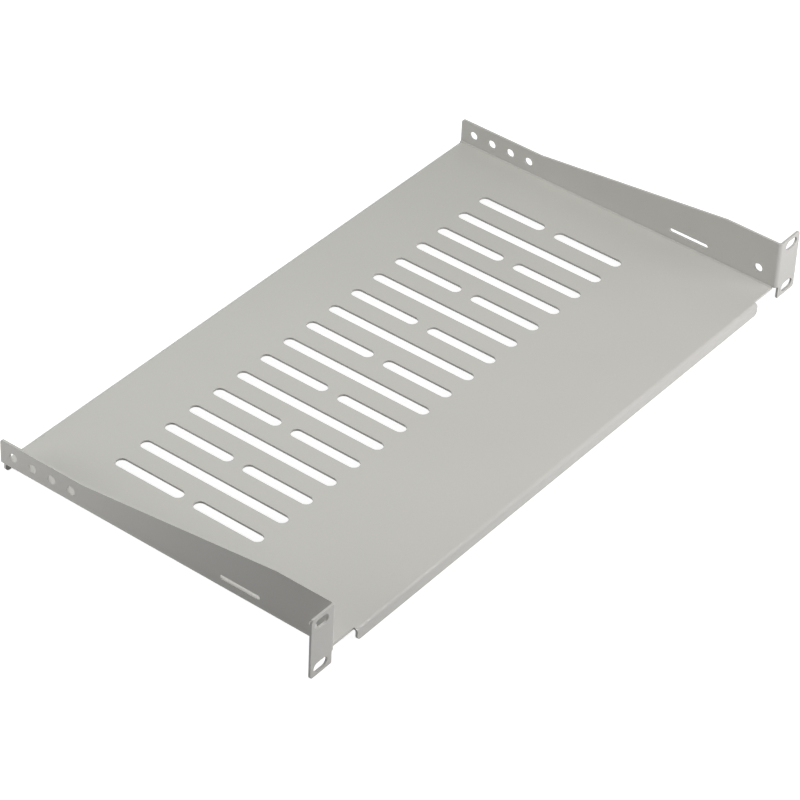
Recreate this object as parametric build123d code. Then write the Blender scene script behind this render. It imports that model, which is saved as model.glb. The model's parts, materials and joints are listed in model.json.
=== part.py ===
from build123d import *
import os

# A fixed shelf for a 19 inch rack, one unit high, folded from one sheet of steel.
# Millimetres. +X is to the right as seen from the front, +Y goes back into the rack, +Z is up.
# The origin is at the middle of the four ear slots, on the back faces of the ears,
# which are the faces that bear on the rack posts.

# Sheet and bends
sheet = 1.5
bend_inside = 1.0
slit = 0.4

# Ears, which carry the shelf on the front posts of the rack
ear_span = 482.6
ear_reach = 19.7
ear_margin = 5.5
ear_corner = 2.0
ear_foot_corner = 0.5
ear_foot_inset = 0.2
ear_slot_rise = 31.75
ear_slot_from_edge = 8.75
ear_slot_length = 12.0
ear_slot_width = 6.5

# Deck
depth = 250.0
deck_drop = 12.5

# Lips, folded down at the front and the back of the deck
front_lip = 8.4
rear_lip = 9.0
lip_corner = 3.0
notch_width = 21.7
notch_clearance = 0.4

# Side flanges, tall behind the ears and low at the back
flange_setback = 0.5
flange_tall_run = 41.0
flange_low_run = 64.5
flange_low_height = 18.5
flange_corner = 2.0

# Vent slots in the deck
vent_width = 8.0
vent_pitch = 22.0
vent_gap = 9.0
vent_from_side = 40.0
vent_from_front = 88.8
vent_from_back = 50.2

# Row of round holes at the back of each flange
row_hole = 6.0
row_holes = 4
row_pitch = 15.0
row_from_back = 10.0
row_height = 8.0

# Narrow slot and single round hole towards the front of each flange
side_slot_length = 29.5
side_slot_width = 3.1
side_slot_from_front = 67.5
side_slot_height = 7.0
front_hole = 6.0
front_hole_from_front = 14.5
front_hole_height = 9.6

# Sizes that follow
bend_outside = bend_inside + sheet
front_face = -sheet
back_face = front_face + depth
flange_back = back_face - flange_setback
notch_edge = front_face + bend_outside + notch_clearance
rear_relief = back_face - bend_outside - slit
deck_top = -deck_drop
deck_under = deck_top - sheet
ear_top = ear_slot_rise / 2 + ear_margin
ear_foot = -ear_top
tray_half = ear_span / 2 - ear_reach
tray_inside = tray_half - sheet
ear_bend_end = tray_inside + bend_outside
ear_foot_edge = ear_bend_end + ear_foot_inset
lip_half = tray_half - notch_width
rear_lip_half = tray_half - bend_outside - slit
flange_low_top = deck_under + flange_low_height


def run_x(face, start, end):
    """Extrudes a face drawn on the YZ plane from one X to another."""
    return extrude(Plane.YZ.offset(start) * face, amount=end - start)


def run_y(face, start, end):
    """Extrudes a face drawn on the XZ plane from one Y to another."""
    return extrude(Plane.XZ.offset(-end) * face, amount=end - start)


def run_z(face, start, end):
    """Extrudes a face drawn on the XY plane from one Z to another."""
    return extrude(Plane.XY.offset(start) * face, amount=end - start)


def folded(skin, side):
    """Section of sheet folded along the outer skin through these corners."""
    line = FilletPolyline(*skin, radius=bend_outside)
    return make_face(offset(line, amount=sheet, side=side, closed=True))


def cut_outline(corners):
    """Flat outline from corners, each given as x, y and the radius that rounds it."""
    points = [(x, y) for x, y, radius in corners]
    radii = [radius for x, y, radius in corners]
    return make_face(FilletPolyline(*points, radius=radii, close=True))


def tray():
    """Deck with both side flanges folded up, trimmed to the side view of the flanges."""
    skin = [
        (-tray_half, ear_top),
        (-tray_half, deck_under),
        (tray_half, deck_under),
        (tray_half, ear_top),
    ]
    channel = run_y(folded(skin, Side.LEFT), notch_edge, flange_back)
    side_view = [
        (notch_edge, deck_under, 0),
        (notch_edge, ear_top, 0),
        (front_face + flange_tall_run, ear_top, 0),
        (flange_back - flange_low_run, flange_low_top, 0),
        (flange_back, flange_low_top, flange_corner),
        (flange_back, deck_under, 0),
    ]
    trimmed = channel & run_x(cut_outline(side_view), -tray_half, tray_half)
    flat_end = Pos(0, (rear_relief + flange_back) / 2, deck_under + sheet / 2) * Box(
        2 * (tray_half - bend_outside), flange_back - rear_relief, sheet
    )
    return trimmed - flat_end


def lip(root, face, drop, half, side):
    """Edge of the deck folded down at this face, with its two lower corners rounded."""
    skin = [(root, deck_top), (face, deck_top), (face, deck_top - drop)]
    front_view = [
        (-half, deck_top, 0),
        (half, deck_top, 0),
        (half, deck_top - drop, lip_corner),
        (-half, deck_top - drop, lip_corner),
    ]
    strip = run_x(folded(skin, side), -half, half)
    return strip & run_y(cut_outline(front_view), min(root, face), max(root, face))


def ear():
    """Right flange's front end folded outwards, with its two oblong slots."""
    edge = ear_span / 2
    skin = [(tray_inside, notch_edge), (tray_inside, front_face), (edge, front_face)]
    front_view = [
        (tray_inside, ear_top, 0),
        (edge, ear_top, ear_corner),
        (edge, ear_foot, ear_corner),
        (ear_foot_edge, ear_foot, ear_foot_corner),
        (ear_foot_edge, deck_top, 0),
        (tray_inside, deck_top, 0),
    ]
    strip = run_z(folded(skin, Side.LEFT), ear_foot, ear_top)
    blank = strip & run_y(cut_outline(front_view), front_face, notch_edge)
    slot = SlotOverall(ear_slot_length, ear_slot_width)
    for height in (-ear_slot_rise / 2, ear_slot_rise / 2):
        place = Pos(edge - ear_slot_from_edge, height)
        blank -= run_y(place * slot, front_face, 0)
    return blank


def vents():
    """Slots along the deck: rows with a pair of short ones alternate with rows of one long one."""
    first = front_face + vent_from_front
    last = back_face - vent_from_back
    long_slot = last - first
    short_slot = (long_slot - vent_gap) / 2
    room = 2 * (tray_half - vent_from_side) - vent_width
    pairs = int(room / vent_pitch / 2)
    cuts = []
    for row in range(-pairs, pairs + 1):
        x = row * vent_pitch
        if (row + pairs) % 2:
            spans = [(first, last)]
        else:
            spans = [(first, first + short_slot), (last - short_slot, last)]
        for start, end in spans:
            slot = SlotOverall(end - start, vent_width, rotation=90)
            cuts.append(run_z(Pos(x, (start + end) / 2) * slot, deck_under, deck_top))
    return cuts


def side_cuts():
    """Round holes and the narrow slot, each cut through both flanges."""
    cuts = []
    for number in range(row_holes):
        y = flange_back - row_from_back - number * row_pitch
        cuts.append(Pos(y, deck_top + row_height) * Circle(row_hole / 2))
    y = front_face + front_hole_from_front
    cuts.append(Pos(y, deck_top + front_hole_height) * Circle(front_hole / 2))
    y = front_face + side_slot_from_front
    slot = SlotOverall(side_slot_length, side_slot_width)
    cuts.append(Pos(y, deck_top + side_slot_height) * slot)
    return [run_x(cut, -tray_half, tray_half) for cut in cuts]


def shelf():
    """The whole shelf, one solid."""
    body = tray()
    body += lip(notch_edge, front_face, front_lip, lip_half, Side.LEFT)
    body += lip(rear_relief, back_face, rear_lip, rear_lip_half, Side.RIGHT)
    right_ear = ear()
    body += right_ear
    body += mirror(right_ear, about=Plane.YZ)
    return body - vents() - side_cuts()


os.makedirs("parts", exist_ok=True)
rack_shelf = shelf()
export_step(rack_shelf, "parts/rack_shelf.step")
print("solids", len(rack_shelf.solids()), "volume cm3", round(rack_shelf.volume / 1000, 2))
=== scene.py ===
import bpy
import json
import math
from mathutils import Matrix, Vector


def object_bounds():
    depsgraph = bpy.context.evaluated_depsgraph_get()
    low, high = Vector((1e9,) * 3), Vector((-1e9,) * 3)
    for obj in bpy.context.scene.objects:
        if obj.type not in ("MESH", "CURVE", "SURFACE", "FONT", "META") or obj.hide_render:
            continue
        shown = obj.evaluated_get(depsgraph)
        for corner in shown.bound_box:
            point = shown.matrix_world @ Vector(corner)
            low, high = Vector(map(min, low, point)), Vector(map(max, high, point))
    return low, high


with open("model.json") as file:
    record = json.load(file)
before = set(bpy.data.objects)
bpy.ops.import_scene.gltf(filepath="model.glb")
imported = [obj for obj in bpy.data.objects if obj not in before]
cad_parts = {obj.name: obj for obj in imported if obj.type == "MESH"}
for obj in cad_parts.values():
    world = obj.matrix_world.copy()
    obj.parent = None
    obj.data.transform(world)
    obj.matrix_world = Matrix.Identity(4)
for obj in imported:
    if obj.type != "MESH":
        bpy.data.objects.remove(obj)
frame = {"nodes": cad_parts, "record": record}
cad_low, cad_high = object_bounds()

MM = 0.001
SHEET = 1.5 * MM

# Camera, aimed at a point below the middle of the deck
AIM = Vector((-2.4, 123.1, -32.9)) * MM
AZIMUTH = math.radians(53.514)
ELEVATION = math.radians(38.333)
ROLL = math.radians(2.765)
DISTANCE = 2.2007
SENSOR = 36.0
LENS = 162.63
CLIP_START = 0.05

# Powder coat: its colour as linear values, and noise in features per metre
COAT_COLOUR = (0.553, 0.541, 0.518)
COAT_IOR = 1.5
MOTTLE_SCALE = 9.0
GRAIN_SCALE = 2600.0
TONE_NOISE = (0.6, 1.4)
TONE = (0.965, 1.035)
GLOSS_SCALE = 400.0
GLOSS_NOISE = (0.3, 0.7)
ROUGHNESS = (0.34, 0.44)
PEEL_SCALE = 900.0
PEEL_DETAIL = 3.0
PEEL_STRENGTH = 0.12
PEEL_HEIGHT = 0.12 * MM

# Painted shade in the inside folds: tone over this distance from the corner of the sheet
FOLD_DISTANCE = (0.6 * MM, 1.8 * MM)
FOLD_SHADE_TONE = (0.80, 1.0)

# Rounding of the cut edges
WELD_DISTANCE = 0.001 * MM
EDGE_WIDTH = 0.15 * MM
EDGE_SEGMENTS = 2
EDGE_ANGLE = math.radians(50)
NORMAL_WEIGHT = 80

# Floor and surroundings
WHITE = (1.0, 1.0, 1.0, 1.0)
FLOOR_COLOUR = (0.45, 0.45, 0.45, 1.0)
FLOOR_HALF_SIZE = 6.0
FLOOR_GLOW = 0.94
BACKDROP = 1.0
AMBIENT = 0.03

# Lamps: a plain lamp is neutral and shines over a half sphere
NEUTRAL = (1.0, 1.0, 1.0)
HALF_SPHERE = math.radians(180)
GLINT_SPREAD = math.radians(24)


def new_material(name):
    """Empty node material with its output node."""
    material = bpy.data.materials.new(name)
    material.use_nodes = True
    tree = material.node_tree
    tree.nodes.clear()
    return material, tree, tree.nodes.new("ShaderNodeOutputMaterial")


def set_inputs(node, **values):
    """Sets sockets by name, with underscores for spaces."""
    for name, value in values.items():
        node.inputs[name.replace("_", " ")].default_value = value


def noise(tree, coordinates, scale, detail=2.0):
    """Noise on object coordinates, in features per metre."""
    node = tree.nodes.new("ShaderNodeTexNoise")
    set_inputs(node, Scale=scale, Detail=detail)
    tree.links.new(coordinates, node.inputs["Vector"])
    return node.outputs["Fac"]


def worked_out(tree, operation, *values):
    """Result of a maths node on these values."""
    node = tree.nodes.new("ShaderNodeMath")
    node.operation = operation
    for value, socket in zip(values, node.inputs):
        tree.links.new(value, socket)
    return node.outputs["Value"]


def mapped(tree, value, before, after, interpolation="LINEAR"):
    """Value taken from one range to another and held inside it."""
    node = tree.nodes.new("ShaderNodeMapRange")
    node.interpolation_type = interpolation
    set_inputs(node, From_Min=before[0], From_Max=before[1], To_Min=after[0], To_Max=after[1])
    tree.links.new(value, node.inputs["Value"])
    return node.outputs["Result"]


def mount_place(name):
    """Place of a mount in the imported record."""
    return next(mount["pos_m"] for mount in frame["record"]["mounts"] if mount["name"] == name)


def painted_fold_shade(tree, coordinates):
    """Painted shade: darker tone in the inside folds along the deck, where the corners fall in
    shade.
    """
    across = mount_place("right_row_outer")[0] - SHEET
    height = mount_place("deck")[2]
    parts = tree.nodes.new("ShaderNodeSeparateXYZ")
    tree.links.new(coordinates, parts.inputs["Vector"])
    section = tree.nodes.new("ShaderNodeCombineXYZ")
    tree.links.new(worked_out(tree, "ABSOLUTE", parts.outputs["X"]), section.inputs["X"])
    tree.links.new(parts.outputs["Z"], section.inputs["Z"])
    reach = tree.nodes.new("ShaderNodeVectorMath")
    reach.operation = "DISTANCE"
    reach.inputs[1].default_value = (across, 0.0, height)
    tree.links.new(section.outputs["Vector"], reach.inputs[0])
    return mapped(tree, reach.outputs["Value"], FOLD_DISTANCE, FOLD_SHADE_TONE, "SMOOTHSTEP")


def powder_coat():
    """Light grey satin powder coat: faint mottling, fine grains, orange peel and painted shade in
    the inside folds.
    """
    material, tree, output = new_material("powder_coat_satin")
    shader = tree.nodes.new("ShaderNodeBsdfPrincipled")
    set_inputs(shader, IOR=COAT_IOR)
    tree.links.new(shader.outputs["BSDF"], output.inputs["Surface"])
    coordinates = tree.nodes.new("ShaderNodeTexCoord").outputs["Object"]

    mottle = noise(tree, coordinates, MOTTLE_SCALE)
    grain = noise(tree, coordinates, GRAIN_SCALE)
    tone = mapped(tree, worked_out(tree, "ADD", mottle, grain), TONE_NOISE, TONE)
    # Painted shade: the coat's tone is darkened in the inside folds beside the deck
    shaded = worked_out(tree, "MULTIPLY", tone, painted_fold_shade(tree, coordinates))
    tint = tree.nodes.new("ShaderNodeVectorMath")
    tint.operation = "SCALE"
    tint.inputs[0].default_value = COAT_COLOUR
    tree.links.new(shaded, tint.inputs["Scale"])
    tree.links.new(tint.outputs["Vector"], shader.inputs["Base Color"])

    gloss = noise(tree, coordinates, GLOSS_SCALE)
    tree.links.new(mapped(tree, gloss, GLOSS_NOISE, ROUGHNESS), shader.inputs["Roughness"])

    peel = tree.nodes.new("ShaderNodeBump")
    set_inputs(peel, Strength=PEEL_STRENGTH, Distance=PEEL_HEIGHT)
    tree.links.new(noise(tree, coordinates, PEEL_SCALE, PEEL_DETAIL), peel.inputs["Height"])
    tree.links.new(peel.outputs["Normal"], shader.inputs["Normal"])
    return material


def seen_directly(tree):
    """1 on camera, glossy and transmission rays, otherwise 0."""
    path = tree.nodes.new("ShaderNodeLightPath")
    either = path.outputs["Is Camera Ray"]
    for kind in ("Is Glossy Ray", "Is Transmission Ray"):
        either = worked_out(tree, "MAXIMUM", either, path.outputs[kind])
    return either


def floor_material():
    """Grey floor that glows white where it is seen directly."""
    material, tree, output = new_material("studio_floor")
    diffuse = tree.nodes.new("ShaderNodeBsdfDiffuse")
    set_inputs(diffuse, Color=FLOOR_COLOUR)
    glow = tree.nodes.new("ShaderNodeEmission")
    set_inputs(glow, Color=WHITE, Strength=FLOOR_GLOW)
    lit = tree.nodes.new("ShaderNodeAddShader")
    tree.links.new(diffuse.outputs["BSDF"], lit.inputs[0])
    tree.links.new(glow.outputs["Emission"], lit.inputs[1])
    pick = tree.nodes.new("ShaderNodeMixShader")
    tree.links.new(seen_directly(tree), pick.inputs["Fac"])
    tree.links.new(diffuse.outputs["BSDF"], pick.inputs[1])
    tree.links.new(lit.outputs["Shader"], pick.inputs[2])
    tree.links.new(pick.outputs["Shader"], output.inputs["Surface"])
    return material


def smooth_modifier(node):
    """Shades the whole node smooth, without a change to its mesh."""
    tree = bpy.data.node_groups.new("shade_smooth", "GeometryNodeTree")
    for direction in ("INPUT", "OUTPUT"):
        tree.interface.new_socket("Geometry", in_out=direction, socket_type="NodeSocketGeometry")
    start = tree.nodes.new("NodeGroupInput")
    smooth = tree.nodes.new("GeometryNodeSetShadeSmooth")
    end = tree.nodes.new("NodeGroupOutput")
    tree.links.new(start.outputs[0], smooth.inputs["Geometry"])
    tree.links.new(smooth.outputs["Geometry"], end.inputs[0])
    node.modifiers.new("smooth", "NODES").node_group = tree


def soften_edges(node):
    """Rounds the cut edges by the thickness of the coat."""
    weld = node.modifiers.new("weld", "WELD")
    weld.merge_threshold = WELD_DISTANCE
    smooth_modifier(node)
    bevel = node.modifiers.new("bevel", "BEVEL")
    bevel.width = EDGE_WIDTH
    bevel.segments = EDGE_SEGMENTS
    bevel.limit_method = "ANGLE"
    bevel.angle_limit = EDGE_ANGLE
    bevel.use_clamp_overlap = True
    node.modifiers.new("normals", "WEIGHTED_NORMAL").weight = NORMAL_WEIGHT


def area_light(
    name, place, target, size, power, colour=NEUTRAL, spread=HALF_SPHERE, diffuse=True, glossy=True
):
    """Square soft light turned to a target, which can leave out its diffuse or its glossy light."""
    lamp = bpy.data.lights.new(name, "AREA")
    lamp.shape = "SQUARE"
    lamp.size = size
    lamp.energy = power
    lamp.color = colour
    lamp.spread = spread
    light = bpy.data.objects.new(name, lamp)
    light.visible_diffuse = diffuse
    light.visible_glossy = glossy
    light.location = place
    light.rotation_euler = (Vector(target) - Vector(place)).to_track_quat("-Z", "Y").to_euler()
    bpy.context.scene.collection.objects.link(light)


def make_lamps():
    """Two lamps above, one low in front, a glint on the front lip's bend and one behind."""
    area_light(
        "overhead",
        place=(0.0, 0.3, 0.5),
        target=(0.0, 0.1, 0.0),
        size=0.5,
        power=1.78,
        colour=(0.965, 1.0, 0.952),
    )
    area_light(
        "overhead_front",
        place=(0.0, -0.2, 0.5),
        target=(0.1, 0.1, 0.0),
        size=0.3,
        power=0.94,
        colour=(1.0, 0.965, 0.955),
    )
    area_light(
        "front_right",
        place=(0.28, -0.6, 0.2),
        target=(0.1, 0.0, 0.0),
        size=0.6,
        power=4.45,
        colour=(0.985, 0.99, 1.0),
        glossy=False,
    )
    area_light(
        "lip_glint",
        place=(0.31, -0.43, 0.43),
        target=(-0.24, 0.0, -0.013),
        size=0.1,
        power=0.022,
        spread=GLINT_SPREAD,
        diffuse=False,
    )
    area_light(
        "rear_left",
        place=(-0.5, 0.5, 0.12),
        target=(-0.22, 0.2, 0.0),
        size=0.25,
        power=1.06,
    )


def make_world():
    """Even ambient light, white where it is seen directly."""
    world = bpy.data.worlds.new("studio")
    world.use_nodes = True
    tree = world.node_tree
    tree.nodes.clear()
    output = tree.nodes.new("ShaderNodeOutputWorld")
    ambient = tree.nodes.new("ShaderNodeBackground")
    set_inputs(ambient, Color=WHITE, Strength=AMBIENT)
    backdrop = tree.nodes.new("ShaderNodeBackground")
    set_inputs(backdrop, Color=WHITE, Strength=BACKDROP)
    pick = tree.nodes.new("ShaderNodeMixShader")
    tree.links.new(seen_directly(tree), pick.inputs["Fac"])
    tree.links.new(ambient.outputs["Background"], pick.inputs[1])
    tree.links.new(backdrop.outputs["Background"], pick.inputs[2])
    tree.links.new(pick.outputs["Shader"], output.inputs["Surface"])
    bpy.context.scene.world = world


def make_floor(height):
    """Square floor under the object."""
    signs = [(-1, -1), (1, -1), (1, 1), (-1, 1)]
    corners = [(x * FLOOR_HALF_SIZE, y * FLOOR_HALF_SIZE, height) for x, y in signs]
    mesh = bpy.data.meshes.new("floor")
    mesh.from_pydata(corners, [], [(0, 1, 2, 3)])
    floor = bpy.data.objects.new("floor", mesh)
    floor.data.materials.append(floor_material())
    bpy.context.scene.collection.objects.link(floor)


def make_camera():
    """Camera at the photograph's viewing angle."""
    level = math.cos(ELEVATION)
    ahead = Vector((math.sin(AZIMUTH) * level, math.cos(AZIMUTH) * level, -math.sin(ELEVATION)))
    level_right = ahead.cross(Vector((0, 0, 1))).normalized()
    level_up = level_right.cross(ahead)
    right = math.cos(ROLL) * level_right + math.sin(ROLL) * level_up
    up = -math.sin(ROLL) * level_right + math.cos(ROLL) * level_up
    lens = bpy.data.cameras.new("camera")
    lens.sensor_width = SENSOR
    lens.lens = LENS
    lens.clip_start = CLIP_START
    camera = bpy.data.objects.new("camera", lens)
    turn = Matrix((right, up, -ahead)).transposed()
    camera.matrix_world = Matrix.Translation(AIM - ahead * DISTANCE) @ turn.to_4x4()
    bpy.context.scene.collection.objects.link(camera)
    bpy.context.scene.camera = camera


shelf = frame["nodes"]["rack_shelf"]
coat = powder_coat()
for material_slot in shelf.material_slots:
    material_slot.material = coat
soften_edges(shelf)

make_floor(cad_low.z)
make_world()
make_lamps()
make_camera()

bpy.context.scene.view_settings.view_transform = "Standard"
